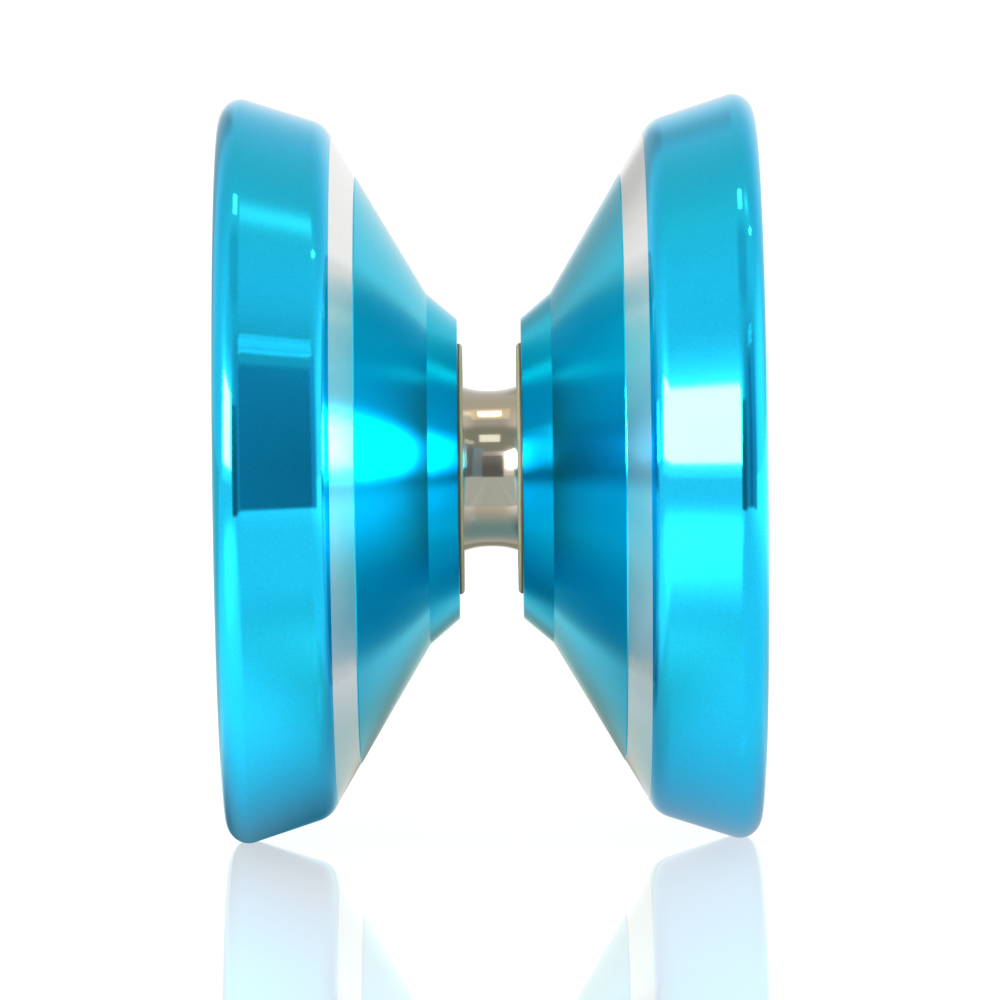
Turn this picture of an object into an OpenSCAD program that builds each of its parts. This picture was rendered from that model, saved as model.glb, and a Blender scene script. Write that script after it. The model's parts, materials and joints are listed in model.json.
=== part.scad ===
// Wide-gap ball-bearing yo-yo with metal halves, taken apart into its separate pieces.
//
// Frame: the origin is the centre of the bearing, in the middle of the string gap.
// +X runs along the axle from the left half to the right half, +Z is up.
// Both halves have one profile, turned about the X axis, and the left one is mirrored.
// Each piece that comes in pairs is drawn on the right (+X) side.

/* [Halves] */
// Diameter over the crest of the rim
rim_d = 56.5; // [55:0.1:58]
// Distance from the middle of the yo-yo to the outer lip, half the whole width
half_w = 20.3; // [19.6:0.1:21]
// Distance between the two inner walls
wall_gap = 4.82; // [4.78:0.02:5.2]
// Diameter of the inner wall, where the hub cone starts
wall_d = 22.76; // [21.5:0.02:23.5]
// Angle of the hub cone to the axle, in degrees
hub_angle = 40.3; // [35:0.1:44]
// Distance from the middle to the knee where the hub cone meets the V wall
knee_x = 4.68; // [4.3:0.02:5]
// Angle of the V wall to the axle, in degrees
wall_angle = 59.4; // [58:0.1:60.5]
// Distance from the middle to the corner where the V wall meets the rim cone
corner_x = 12.37; // [12:0.01:12.6]
// Radius that blends the V wall into the rim cone
corner_r = 2.3; // [1:0.1:2.4]
// How far the rounding of the rim reaches along the axle
crest_a = 1.66; // [1:0.02:2]
// How far the rounding of the rim reaches towards the axle
crest_b = 1.84; // [1:0.02:2]

/* [Bare metal band] */
// Distance from the middle to the inner edge of the band on the V wall
band_x0 = 9.96; // [9:0.02:11]
// Distance from the middle to the outer edge of the band on the V wall
band_x1 = 11.78; // [11.4:0.02:11.8]
// Depth to which the band is turned below the V wall
band_depth = 0.05; // [0.02:0.01:0.1]

/* [Cups] */
// Inner diameter of the flat lip that the yo-yo lies on
lip_d = 47.6; // [47:0.1:50]
// Thickness of the web behind the V wall
web_t = 2.2; // [1.6:0.1:2.4]
// Distance from the middle to the floor of the cup
floor_x = 6.6; // [6:0.1:6.8]
// Distance from the middle to the step inside the rim
step_x = 13; // [12.8:0.1:14]
// Distance from the middle to the end of the hub boss
boss_x = 11.3; // [11.1:0.1:12]
// Diameter of the hub boss near its end
boss_d = 9.4; // [8.6:0.1:10]

/* [Axle] */
// Thread diameter of the axle
axle_d = 4; // [3.8:0.1:4]
// Length of the axle
axle_l = 16; // [14:0.5:16.4]
// Pitch of the axle's thread, which isn't cut here; the unscrewing joint's ratio follows it
axle_pitch = 0.7; // [0.5:0.1:0.7]
// Width across the flats of the hex socket in each end
socket_af = 2; // [1.5:0.1:2.2]
// Depth of each hex socket
socket_depth = 2.2; // [1.5:0.1:3]
// Radial clearance between the axle and the halves' threaded holes
thread_clear = 0.03; // [0.02:0.01:0.06]

/* [Bearing] */
// Bore of the inner race
bearing_bore = 6.35; // [6.3:0.01:6.35]
// Greatest outer diameter of the outer race
bearing_od = 12.7; // [12.6:0.01:12.8]
// Width of the bearing
bearing_w = 4.763; // [4.7:0.001:4.77]
// Diameter of the outer race at its waist, where the string sits
waist_d = 11.84; // [11.7:0.02:12.2]
// How late the waist's curve rises towards its ends: 2 is a parabola
waist_power = 2.3; // [2:0.1:4]
// Diameter of the balls
ball_d = 1.5875; // [1.55:0.0001:1.5875]
// Diameter of the circle that the balls' centres lie on
pitch_d = 9.525; // [9.5:0.001:9.54]
// Radius of the grooves that the balls run in
groove_r = 0.83; // [0.81:0.01:0.85]
// Radial clearance between the halves' posts and the inner race
post_clear = 0.025; // [0.01:0.005:0.05]

/* [Response pads] */
// Outer diameter of the pads
pad_od = 19.05; // [18.8:0.05:19.2]
// Inner diameter of the pads
pad_id = 14.7; // [14.5:0.1:15]
// Distance between the two pads' faces
pad_gap = 4.1; // [3.9:0.05:4.3]
// Depth of the groove that holds a pad
pad_groove = 0.7; // [0.5:0.05:0.9]
// Radial clearance of a pad in its groove
pad_clear = 0.05; // [0.02:0.01:0.08]

/* [Hidden] */
$fn = 128;

half_colour = [0, 0.56, 0.73];
shield_colour = [0.66, 0.66, 0.66];
snap_ring_colour = [0.5, 0.5, 0.5];
pad_colour = [0.86, 0.85, 0.7];

// Shared by the bearing and the halves
race_x = bearing_w / 2;
wall_x = wall_gap / 2;
pad_groove_x = wall_x + pad_groove; // floor of the groove that holds a pad

// ---- Profiles: lists of [x, r], x along the axle and r out from it ----

corner_steps = 6; // pieces in the arc of a rounded corner

// Turns a profile of [x, r] points about the X axis
module turned(points) {
    rotate([0, 90, 0])
        rotate_extrude(angle = 360)
            polygon([for (point = points) [point.y, point.x]]);
}

// Ring of rectangular section between x0 and x1
module flat_ring(x0, x1, inner_r, outer_r) {
    turned([[x0, inner_r], [x0, outer_r], [x1, outer_r], [x1, inner_r]]);
}

// Profile points mirrored to the other side of the middle, in reverse order
function mirrored(points) =
    [for (i = [len(points) - 1:-1:0]) [-points[i].x, points[i].y]];

function unit(v) = v / norm(v);
function angle_of(v) = atan2(v.y, v.x);

// Arc that rounds the corner of the path before, tip, after
function corner_arc(before, tip, after, radius) =
    let(to_before = unit(before - tip),
        to_after = unit(after - tip),
        half_angle = acos(to_before * to_after) / 2,
        centre = tip + unit(to_before + to_after) * radius / sin(half_angle),
        reach = radius / tan(half_angle),
        start = angle_of(tip + to_before * reach - centre),
        turn = angle_of(tip + to_after * reach - centre) - start,
        sweep = turn > 180 ? turn - 360 : turn < -180 ? turn + 360 : turn)
    [for (i = [0:corner_steps])
        let(angle = start + sweep * i / corner_steps)
        centre + radius * [cos(angle), sin(angle)]];

// The [x, r] part of a closed path's point i, counted round past its ends
function path_point(path, i) =
    let(point = path[(i + len(path)) % len(path)]) [point.x, point.y];

// A closed path of [x, r, corner radius] with its corners rounded, as [x, r] points
function rounded(path) =
    [for (i = [0:len(path) - 1])
        let(tip = path_point(path, i), radius = path[i][2])
        each (radius > 0
            ? corner_arc(path_point(path, i - 1), tip, path_point(path, i + 1), radius)
            : [tip])];

// ---- Halves ----

// Threaded hole, blind, with a cone at its bottom and a chamfered mouth
hole_r = axle_d / 2 + thread_clear;
hole_x = 8.6;                // end of the hole's straight part
hole_cone_angle = 31;        // slope of the cone from square to the axle
hole_chamfer = 0.35;

// Post that carries the bearing
post_r = bearing_bore / 2 - post_clear;
post_x = 0.6;                // end of the post
post_chamfer = 0.2;
seat_r = 3.95;               // outside of the shoulder that clamps the inner race

// Pocket that clears the outer race
pocket_r = 6.7;
pocket_x = wall_x + 0.34;

pad_groove_ri = pad_id / 2 - pad_clear;
pad_groove_ro = pad_od / 2 + pad_clear;

// V wall, and the step of band_depth square to it, down into the metal
knee_r = wall_d / 2 + (knee_x - wall_x) * tan(hub_angle);
band_step = band_depth * [sin(wall_angle), -cos(wall_angle), 0];

// Radius of the V wall at distance x from the middle
function wall_r_at(x) = knee_r + (x - knee_x) * tan(wall_angle);

// Distance from the middle to the V wall at radius r
function wall_x_at(r) = knee_x + (r - knee_r) / tan(wall_angle);

// Path point on the V wall
function on_wall(x, rounding = 0) = [x, wall_r_at(x), rounding];

// Crest of the rim: an elliptic arc that starts at the tangent from the V wall's corner
crest_x = half_w - crest_a;
crest_r = rim_d / 2 - crest_b;
crest_steps = 12;
crest_start =
    let(from_centre = [(corner_x - crest_x) / crest_a, (wall_r_at(corner_x) - crest_r) / crest_b],
        angle = angle_of(from_centre))
    (angle < 0 ? angle + 360 : angle) - acos(1 / norm(from_centre));
crest_path =
    [for (i = [0:crest_steps])
        let(angle = crest_start * (1 - i / crest_steps))
        [crest_x + crest_a * cos(angle), crest_r + crest_b * sin(angle), 0]];

// Cup
web_dx = web_t / sin(wall_angle); // the web's thickness measured along the axle
lip_r = lip_d / 2;
step_ro = lip_r - 0.6;       // outer edge of the step inside the rim
step_ri = lip_r - 2;         // inner edge of the step
web_ro = lip_r - 2.5;        // where the back of the web starts
boss_r = boss_d / 2;
boss_foot_r = boss_r + 1.9;  // boss at the floor of the cup
boss_end_r = boss_r - 1.6;   // outside of the boss's end
boss_shoulder = 0.6;         // from the boss's end back to where it is boss_d across
boss_dish = 0.3;             // depth of the hollow in the boss's end

// One half as [x, r, corner radius], from the hole's bottom to the middle of the cup
half_path = concat(
    [// threaded hole
     [hole_x + hole_r * tan(hole_cone_angle), 0, 0],
     [hole_x, hole_r, 0],
     [post_x + hole_chamfer, hole_r, 0],
     [post_x, hole_r + hole_chamfer, 0],
     // post and seat
     [post_x, post_r - post_chamfer, 0],
     [post_x + post_chamfer, post_r, 0],
     [race_x, post_r, 0],
     [race_x, seat_r, 0],
     // pocket
     [pocket_x, seat_r, 0],
     [pocket_x, pocket_r, 0.08],
     [wall_x, pocket_r, 0.05],
     // pad groove
     [wall_x, pad_groove_ri, 0.05],
     [pad_groove_x, pad_groove_ri, 0],
     [pad_groove_x, pad_groove_ro, 0],
     [wall_x, pad_groove_ro, 0.05],
     // hub cone
     [wall_x, wall_d / 2, 0.2],
     [knee_x, knee_r, 0.3],
     // V wall with the bare band
     on_wall(band_x0),
     on_wall(band_x0) + band_step,
     on_wall(band_x1) + band_step,
     on_wall(band_x1),
     on_wall(corner_x, corner_r)],
    crest_path,
    [// lip and step
     [half_w, lip_r, 0.35],
     [step_x, step_ro, 0.8],
     [step_x, step_ri, 0.3],
     // back of the web, and floor
     [wall_x_at(web_ro) + web_dx, web_ro, 0.3],
     [floor_x, wall_r_at(floor_x - web_dx), 1.5],
     // hub boss
     [floor_x, boss_foot_r, 1.2],
     [boss_x - boss_shoulder, boss_r, 0.8],
     [boss_x, boss_end_r, 0.6],
     [boss_x - boss_dish, 0, 0]]);

module half() {
    turned(rounded(half_path));
}

module left_half() { color(half_colour) mirror([1, 0, 0]) half(); }
module right_half() { color(half_colour) half(); }

// ---- Axle ----

axle_chamfer = 0.4;

module hex_socket() {
    overshoot = 1; // past the axle's end
    translate([axle_l / 2 - socket_depth, 0, 0])
        rotate([0, 90, 0])
            cylinder(d = socket_af / cos(30), h = socket_depth + overshoot, $fn = 6);
}

// Set screw with a hex socket in each end; its thread is plain, at the thread's outer diameter
module axle() {
    radius = axle_d / 2;
    end_x = axle_l / 2;
    right_end = [[end_x - axle_chamfer, radius], [end_x, radius - axle_chamfer], [end_x, 0]];
    color([0.25, 0.25, 0.27])
        difference() {
            turned(concat(mirrored(right_end), right_end));
            for (side = [0, 1])
                mirror([side, 0, 0]) hex_socket();
        }
}

// ---- Bearing ----

balls = 10;
inner_race_chamfer = 0.12;
outer_race_chamfer = 0.1;
race_ro = 4.25;              // outside of the inner race's shoulders
land_ri = 5.3;               // inside of the outer race's shoulders
counterbore_ri = 5.62;       // inside of the outer race where the shields sit
groove_steps = 16;           // pieces in the arc of a ball groove
waist_steps = 24;            // pieces in the curve of the waist

shield_x = 1.63;             // inner face of a shield
shield_t = 0.2;
shield_ri = race_ro + 0.1;
shield_ro = counterbore_ri - 0.04;

ring_x = 2.01;               // middle of a snap ring
ring_r = 0.16;               // radius of a snap ring's wire
ring_gap = 45;               // opening in a snap ring, in degrees
ring_start = 22;             // where its wire starts, in degrees from -Z
ring_groove_w2 = ring_r + 0.01; // half the width of the groove that holds it
ring_groove_r = counterbore_ri + ring_r + 0.02;

cage_ri = 4.39;
cage_ro = 5.15;
cage_x0 = -1.3;
cage_x1 = 0.45;
cage_ball_clear = 0.05;
cage_mouth_r = 0.62;         // opening of a ball's pocket towards +X
cage_slot_x = -0.35;         // bottom of a slot between two balls
cage_slot_w = 0.6;
cage_cut = 2;                // length of the cuts, enough to pass out of the cage

// Arc of a ball groove, from +X to -X, that starts and ends on a race's shoulder at
// shoulder_r; side is 1 for the outer race and -1 for the inner race
function ball_groove(shoulder_r, side) =
    let(reach = acos(abs(shoulder_r - pitch_d / 2) / groove_r))
    [for (i = [0:groove_steps])
        let(angle = reach * (2 * i / groove_steps - 1))
        [-groove_r * sin(angle), pitch_d / 2 + side * groove_r * cos(angle)]];

module bearing_inner_race() {
    bore_r = bearing_bore / 2;
    chamfer = inner_race_chamfer;
    right_end = [[race_x - chamfer, bore_r], [race_x, bore_r + chamfer],
                 [race_x, race_ro - chamfer], [race_x - chamfer, race_ro]];
    color([0.72, 0.72, 0.7])
        turned(concat(right_end, ball_groove(race_ro, -1), mirrored(right_end)));
}

// Outer race, with a waisted outside and a counterbore and snap ring groove in each end
module bearing_outer_race() {
    waist_x = race_x - outer_race_chamfer; // end of the waist's curve
    waist_rise = (bearing_od - waist_d) / 2;
    waist = [for (i = [0:waist_steps])
        let(x = waist_x * (2 * i / waist_steps - 1))
        [x, waist_d / 2 + waist_rise * pow(abs(x) / waist_x, waist_power)]];
    right_end = [[race_x, bearing_od / 2 - outer_race_chamfer],
                 [race_x, counterbore_ri],
                 [ring_x + ring_groove_w2, counterbore_ri],
                 [ring_x + ring_groove_w2, ring_groove_r],
                 [ring_x - ring_groove_w2, ring_groove_r],
                 [ring_x - ring_groove_w2, counterbore_ri],
                 [shield_x, counterbore_ri],
                 [shield_x, land_ri]];
    color([0.8, 0.78, 0.74])
        turned(concat(waist, right_end, ball_groove(land_ri, 1), mirrored(right_end)));
}

// Turns its children round the bearing to ball place i, from 0 at +Z
module at_ball(i) {
    rotate([360 / balls * i, 0, 0])
        translate([0, 0, pitch_d / 2])
            children();
}

// Crown cage: a ring whose pockets and slots open towards +X
module bearing_cage() {
    color([0.6, 0.58, 0.55])
        difference() {
            flat_ring(cage_x0, cage_x1, cage_ri, cage_ro);
            for (i = [0:balls - 1]) {
                at_ball(i) sphere(r = ball_d / 2 + cage_ball_clear);
                at_ball(i) rotate([0, 90, 0]) cylinder(r = cage_mouth_r, h = cage_cut);
                rotate([360 / balls * (i + 0.5), 0, 0])
                    translate([cage_slot_x, -cage_slot_w / 2, cage_ri - 0.5])
                        cube([cage_cut, cage_slot_w, cage_cut]);
            }
        }
}

// Washer that closes one end of the bearing
module shield() {
    flat_ring(shield_x, shield_x + shield_t, shield_ri, shield_ro);
}

// Wire ring, open at the bottom for an eighth of its turn, that holds a shield in
module snap_ring() {
    rotate([0, 90, 0])
        rotate([0, 0, ring_start])
            rotate_extrude(angle = 360 - ring_gap)
                translate([counterbore_ri, ring_x])
                    circle(r = ring_r, $fn = 24);
}

module bearing_shield_left() { color(shield_colour) mirror([1, 0, 0]) shield(); }
module bearing_shield_right() { color(shield_colour) shield(); }
module bearing_snap_ring_left() { color(snap_ring_colour) mirror([1, 0, 0]) snap_ring(); }
module bearing_snap_ring_right() { color(snap_ring_colour) snap_ring(); }

// Ball by its number, from 1
module bearing_ball(number) {
    color([0.85, 0.85, 0.86])
        at_ball(number - 1) sphere(d = ball_d);
}

// ---- Response pads ----

// Flat ring of soft rubber with the two edges of its exposed face rounded
module response_pad() {
    face_x = pad_gap / 2;
    turned(rounded([[face_x, pad_id / 2, 0.2],
                    [pad_groove_x, pad_id / 2, 0],
                    [pad_groove_x, pad_od / 2, 0],
                    [face_x, pad_od / 2, 0.3]]));
}

module response_pad_left() { color(pad_colour) mirror([1, 0, 0]) response_pad(); }
module response_pad_right() { color(pad_colour) response_pad(); }

// ---- Nodes ----

left_half();
right_half();
axle();
bearing_inner_race();
bearing_outer_race();
bearing_cage();
bearing_shield_left();
bearing_shield_right();
bearing_snap_ring_left();
bearing_snap_ring_right();
response_pad_left();
response_pad_right();
bearing_ball(1);  // bearing_ball_1
bearing_ball(2);  // bearing_ball_2
bearing_ball(3);  // bearing_ball_3
bearing_ball(4);  // bearing_ball_4
bearing_ball(5);  // bearing_ball_5
bearing_ball(6);  // bearing_ball_6
bearing_ball(7);  // bearing_ball_7
bearing_ball(8);  // bearing_ball_8
bearing_ball(9);  // bearing_ball_9
bearing_ball(10);  // bearing_ball_10
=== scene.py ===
"""A yo-yo of two turned aluminium halves on a threaded axle, with a ball bearing between them.

The axle lies along X, with the middle of the gap at x = 0 and the left half at negative x.
+Z is up and the camera looks from the -Y side, so the front is -Y. Shapes are in millimetres
until they become meshes; lights, cards, camera and shader lengths are in metres.
"""
import json
import math

import bmesh
import bpy
import numpy as np
from mathutils import Matrix, Quaternion, Vector

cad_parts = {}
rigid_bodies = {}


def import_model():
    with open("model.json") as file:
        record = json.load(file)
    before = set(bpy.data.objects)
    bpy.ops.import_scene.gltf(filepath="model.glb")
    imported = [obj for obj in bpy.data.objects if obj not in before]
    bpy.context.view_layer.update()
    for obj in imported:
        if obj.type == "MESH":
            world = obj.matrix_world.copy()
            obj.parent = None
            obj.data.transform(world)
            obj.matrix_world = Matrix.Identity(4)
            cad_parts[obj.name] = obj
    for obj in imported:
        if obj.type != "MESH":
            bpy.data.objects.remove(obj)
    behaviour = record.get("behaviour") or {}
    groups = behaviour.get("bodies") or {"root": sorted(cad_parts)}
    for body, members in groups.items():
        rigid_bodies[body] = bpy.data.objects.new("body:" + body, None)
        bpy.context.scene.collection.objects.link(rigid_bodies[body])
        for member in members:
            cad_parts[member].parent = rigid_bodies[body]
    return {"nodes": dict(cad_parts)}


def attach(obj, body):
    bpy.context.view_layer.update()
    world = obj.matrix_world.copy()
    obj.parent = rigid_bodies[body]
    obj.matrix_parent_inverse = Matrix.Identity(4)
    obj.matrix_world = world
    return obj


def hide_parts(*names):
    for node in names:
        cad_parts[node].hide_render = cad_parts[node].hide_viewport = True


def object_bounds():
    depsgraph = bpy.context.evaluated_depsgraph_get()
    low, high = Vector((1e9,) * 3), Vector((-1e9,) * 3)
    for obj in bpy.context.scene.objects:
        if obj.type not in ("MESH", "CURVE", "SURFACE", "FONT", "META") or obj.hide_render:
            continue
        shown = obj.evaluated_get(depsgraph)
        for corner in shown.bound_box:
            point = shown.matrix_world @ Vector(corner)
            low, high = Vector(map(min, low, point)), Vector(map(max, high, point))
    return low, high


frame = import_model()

CAD_LO, CAD_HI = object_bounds()
MM = 0.001
SIDES = (("left", True), ("right", False))  # name, mirrored in x = 0
scene = bpy.context.scene


def add_object(name, mesh):
    ob = bpy.data.objects.new(name, mesh)
    scene.collection.objects.link(ob)
    return ob


# ---------------------------------------------------------------- turned shapes
# A turned shape is a profile of (x, radius) points in millimetres, spun about the X axis.
# A strip is (start, start normal, end, end normal, material slot): one piece of the profile
# with the surface's own normals at its two ends.


def unit(vector):
    return vector / (np.linalg.norm(vector) or 1.0)


def side_of(path):
    """+1 or -1: which side of a closed or axis-to-axis path is outside."""
    here = np.array([stop[:2] for stop in path], float)
    after = np.roll(here, -1, axis=0)
    return 1.0 if (here[:, 0] * after[:, 1] - here[:, 1] * after[:, 0]).sum() > 0 else -1.0


def outward(start, end, side):
    along = unit(end - start)
    return side * np.array([along[1], -along[0]])


def corner_arc(before, corner, after, radius, side, steps):
    """Points and outward normals of the arc that rounds a corner."""
    to_before, to_after = unit(before - corner), unit(after - corner)
    half = math.acos(np.clip(to_before @ to_after, -1, 1)) / 2
    centre = corner + unit(to_before + to_after) * radius / math.sin(half)
    first = corner + to_before * radius / math.tan(half) - centre
    last = corner + to_after * radius / math.tan(half) - centre
    start, end = math.atan2(first[1], first[0]), math.atan2(last[1], last[0])
    turn = (end - start + math.pi) % (2 * math.pi) - math.pi
    sign = 1.0 if outward(before, corner, side) @ first > 0 else -1.0
    arc = []
    for step in range(steps + 1):
        angle = start + turn * step / steps
        ray = np.array([math.cos(angle), math.sin(angle)])
        arc.append((centre + radius * ray, sign * ray))
    return arc


def strips_of(path, closed, steps):
    """Strips of a path of (x, radius, corner radius, material slot); corner radius 0 is sharp.

    The slot of a stop belongs to its corner's arc and to the straight that follows it.
    """
    side = side_of(path)
    count = len(path)
    points = [np.array(stop[:2], float) for stop in path]
    arcs = []
    for i in range(count):
        radius = path[i][2]
        if radius <= 0 or (not closed and i in (0, count - 1)):
            arcs.append([(points[i], None)])
        else:
            arcs.append(corner_arc(points[i - 1], points[i], points[(i + 1) % count],
                                   radius, side, steps))
    strips = []
    for i in range(count):
        slot = path[i][3]
        for (start, start_normal), (end, end_normal) in zip(arcs[i], arcs[i][1:]):
            strips.append((start, start_normal, end, end_normal, slot))
        if i == count - 1 and not closed:
            break
        start, end = arcs[i][-1][0], arcs[(i + 1) % count][0][0]
        if np.linalg.norm(end - start) > 1e-7:
            normal = outward(start, end, side)
            strips.append((start, normal, end, normal, slot))
    return strips


def smooth_strips(path, angle=24.0):
    """Strips of a closed, dense (x, radius) path, smooth wherever it turns by less than angle."""
    side = side_of(path)
    count = len(path)
    points = [np.array(stop, float) for stop in path]
    facing = [outward(points[i], points[(i + 1) % count], side) for i in range(count)]
    limit = math.cos(math.radians(angle))

    def blend(own, other):
        return unit(own + other) if own @ other > limit else own

    strips = []
    for i in range(count):
        j = (i + 1) % count
        strips.append((points[i], blend(facing[i], facing[i - 1]),
                       points[j], blend(facing[i], facing[j]), 0))
    return strips


def lathe(name, strips, segs, flip=False):
    """A turned mesh with exact normals. flip mirrors it in x = 0."""
    sign = -1.0 if flip else 1.0
    angles = np.arange(segs) * 2 * math.pi / segs
    cosines, sines = np.cos(angles), np.sin(angles)
    verts, rings, loops, counts, slots, normals = [], {}, [], [], [], []
    total = 0

    def spun(x, radius):
        return np.stack([np.full(segs, sign * x), -radius * sines, radius * cosines], 1)

    def ring(point):
        """Vertex numbers round a profile point, and whether it is on the axis."""
        nonlocal total
        key = (round(float(point[0]), 7), round(float(point[1]), 7))
        if key not in rings:
            x, radius = point[0] * MM, point[1] * MM
            pole = abs(point[1]) < 1e-6
            verts.append(np.array([[sign * x, 0.0, 0.0]]) if pole else spun(x, radius))
            rings[key] = (total + (np.zeros(segs, int) if pole else np.arange(segs)), pole)
            total += len(verts[-1])
        return rings[key]

    for start, start_normal, end, end_normal, slot in strips:
        (first, first_pole), (last, last_pole) = ring(start), ring(end)
        corners = [(first, spun(*start_normal)), (last, spun(*end_normal))]
        first_next, last_next = (tuple(np.roll(part, -1, axis=0) for part in corner)
                                 for corner in corners)
        if not last_pole:
            corners.append(last_next)
        if not first_pole:
            corners.append(first_next)
        # the profile's direction and its outward side decide the winding
        along = np.array(end, float) - np.array(start, float)
        normal = np.array(start_normal, float) + np.array(end_normal, float)
        if (along[0] * normal[1] - along[1] * normal[0]) * sign > 0:
            corners.reverse()
        loops.append(np.stack([corner[0] for corner in corners], 1).ravel())
        normals.append(np.stack([corner[1] for corner in corners], 1).reshape(-1, 3))
        counts.append(np.full(segs, len(corners)))
        slots.append(np.full(segs, slot))
    verts, loops, counts = np.concatenate(verts), np.concatenate(loops), np.concatenate(counts)
    mesh = bpy.data.meshes.new(name)
    mesh.vertices.add(len(verts))
    mesh.vertices.foreach_set("co", verts.astype(np.float32).ravel())
    mesh.loops.add(len(loops))
    mesh.loops.foreach_set("vertex_index", loops.astype(np.int32))
    mesh.polygons.add(len(counts))
    mesh.polygons.foreach_set("loop_start", (np.cumsum(counts) - counts).astype(np.int32))
    mesh.polygons.foreach_set("material_index", np.concatenate(slots).astype(np.int32))
    mesh.polygons.foreach_set("use_smooth", np.ones(len(counts), bool))
    mesh.update(calc_edges=True)
    mesh.validate(clean_customdata=False)
    mesh.normals_split_custom_set(np.concatenate(normals).tolist())
    return add_object(name, mesh)


# ---------------------------------------------------------------- shader helper
class Shader:
    """Fills a node tree. Inputs may be sockets or plain values; colours are RGB triples."""

    def __init__(self, owner):
        owner.use_nodes = True
        self.owner = owner
        self.tree = owner.node_tree
        self.tree.nodes.clear()

    def put(self, socket, value):
        if isinstance(value, bpy.types.NodeSocket):
            self.tree.links.new(value, socket)
        elif socket.type == "RGBA":
            socket.default_value = (*value, 1.0)
        else:
            socket.default_value = value

    def node(self, kind, inputs=(), **props):
        """A node; inputs are a tuple in socket order or a dict by socket name."""
        node = self.tree.nodes.new("ShaderNode" + kind)
        for key, value in props.items():
            setattr(node, key, value)
        for key, value in inputs.items() if isinstance(inputs, dict) else enumerate(inputs):
            self.put(node.inputs[key], value)
        return node

    def out(self, kind, inputs=(), **props):
        return self.node(kind, inputs, **props).outputs[0]

    def math(self, operation, *values):
        return self.out("Math", values, operation=operation)

    def plus(self, first, second):
        return self.math("ADD", first, second)

    def minus(self, first, second):
        return self.math("SUBTRACT", first, second)

    def mul(self, first, second):
        return self.math("MULTIPLY", first, second)

    def squares(self, first, second):
        return self.plus(self.mul(first, first), self.mul(second, second))

    def decay(self, value, rate):
        """e to the power of value times rate."""
        return self.math("EXPONENT", self.mul(value, rate))

    def swing(self, noise, amount):
        """A noise centred on zero, amount wide."""
        return self.mul(self.minus(noise, 0.5), amount)

    def smooth(self, value, zero_at, one_at):
        """0 before zero_at, 1 past one_at, smooth between; zero_at may be the larger."""
        return self.out("MapRange", (value, zero_at, one_at, 0.0, 1.0),
                        interpolation_type="SMOOTHSTEP")

    def remap(self, value, from_low, from_high, to_low, to_high):
        return self.out("MapRange", (value, from_low, from_high, to_low, to_high), clamp=True)

    def mix(self, factor, first, second):
        return self.node("Mix", {"Factor": factor, "A": first, "B": second},
                         data_type="RGBA").outputs["Result"]

    def noise(self, point, scale, detail, rough=0.5):
        return self.node("TexNoise", {"Vector": point, "Scale": scale, "Detail": detail,
                                      "Roughness": rough}).outputs["Fac"]

    def vec(self, x, y, z):
        return self.out("CombineXYZ", (x, y, z))

    def split(self, vector):
        return self.node("SeparateXYZ", (vector,)).outputs

    def coords(self, kind="Object"):
        return self.node("TexCoord").outputs[kind]

    def ray(self, kind):
        return self.node("LightPath").outputs[kind]

    def bump(self, height):
        return self.out("Bump", {"Strength": 1.0, "Distance": 1.0, "Height": height})

    def emission(self, strength, color=(1.0, 1.0, 1.0)):
        return self.out("Emission", {"Color": color, "Strength": strength})

    def mix_shader(self, factor, first, second):
        return self.out("MixShader", (factor, first, second))

    def finish(self, shader, kind="OutputMaterial"):
        self.node(kind, {"Surface": shader})
        return self.owner


def turned_coords(tree):
    """Object point, its x, y and z, and its distance from the axle, in metres."""
    point = tree.coords()
    x, y, z = tree.split(point)
    return point, x, y, z, tree.math("SQRT", tree.squares(y, z))


# ---------------------------------------------------------------- materials
def plain_surface(name, color, rough, vary, grain=0.0, grain_scale=9000.0, turn=0.0,
                  turn_scale=9000.0, metallic=1.0, painted_shade=None, more=None):
    """Fine grain and lathe lines as bump (heights in metres), with slow drifts of tone.

    vary is the drift's strength; painted_shade is (unshaded |x|, shaded |x|, colour), a painted
    shade that darkens the colour past that |x|; more holds further Principled inputs.
    """
    tree = Shader(bpy.data.materials.new(name))
    point, x, _, _, radius = turned_coords(tree)
    slow = tree.noise(point, scale=220.0, detail=3.0, rough=0.55)
    # lathe lines change across the profile and hardly at all round the axis
    lines_at = tree.vec(tree.mul(x, 1.0), tree.mul(radius, 1.0), tree.mul(slow, 0.00002))
    lines = tree.noise(lines_at, scale=turn_scale, detail=3.0, rough=0.65)
    fine = tree.noise(point, scale=grain_scale, detail=1.0)

    tone = tree.plus(tree.swing(slow, vary * 2.0), tree.swing(lines, vary if turn else 0.0))
    shade = tree.out("HueSaturation", {"Color": color, "Value": tree.plus(1.0, tone)})
    if painted_shade:
        unshaded_x, shaded_x, shade_color = painted_shade
        # painted shade: the colour darkens towards the shade colour as |x| goes past the shaded
        # |x|
        deep = tree.smooth(tree.math("ABSOLUTE", x), unshaded_x, shaded_x)
        shade = tree.mix(tree.mul(deep, 0.9), shade, shade_color)
    rough_vary = 0.25  # share of the roughness that drifts
    drift = tree.plus(1.0 - rough_vary / 2, tree.mul(slow, rough_vary))
    height = tree.plus(tree.mul(fine, grain), tree.mul(lines, turn))
    return tree.finish(tree.out("BsdfPrincipled", {
        "Base Color": shade, "Roughness": tree.mul(rough, drift), "Metallic": metallic,
        "Normal": tree.bump(height), **(more or {})}))


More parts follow.
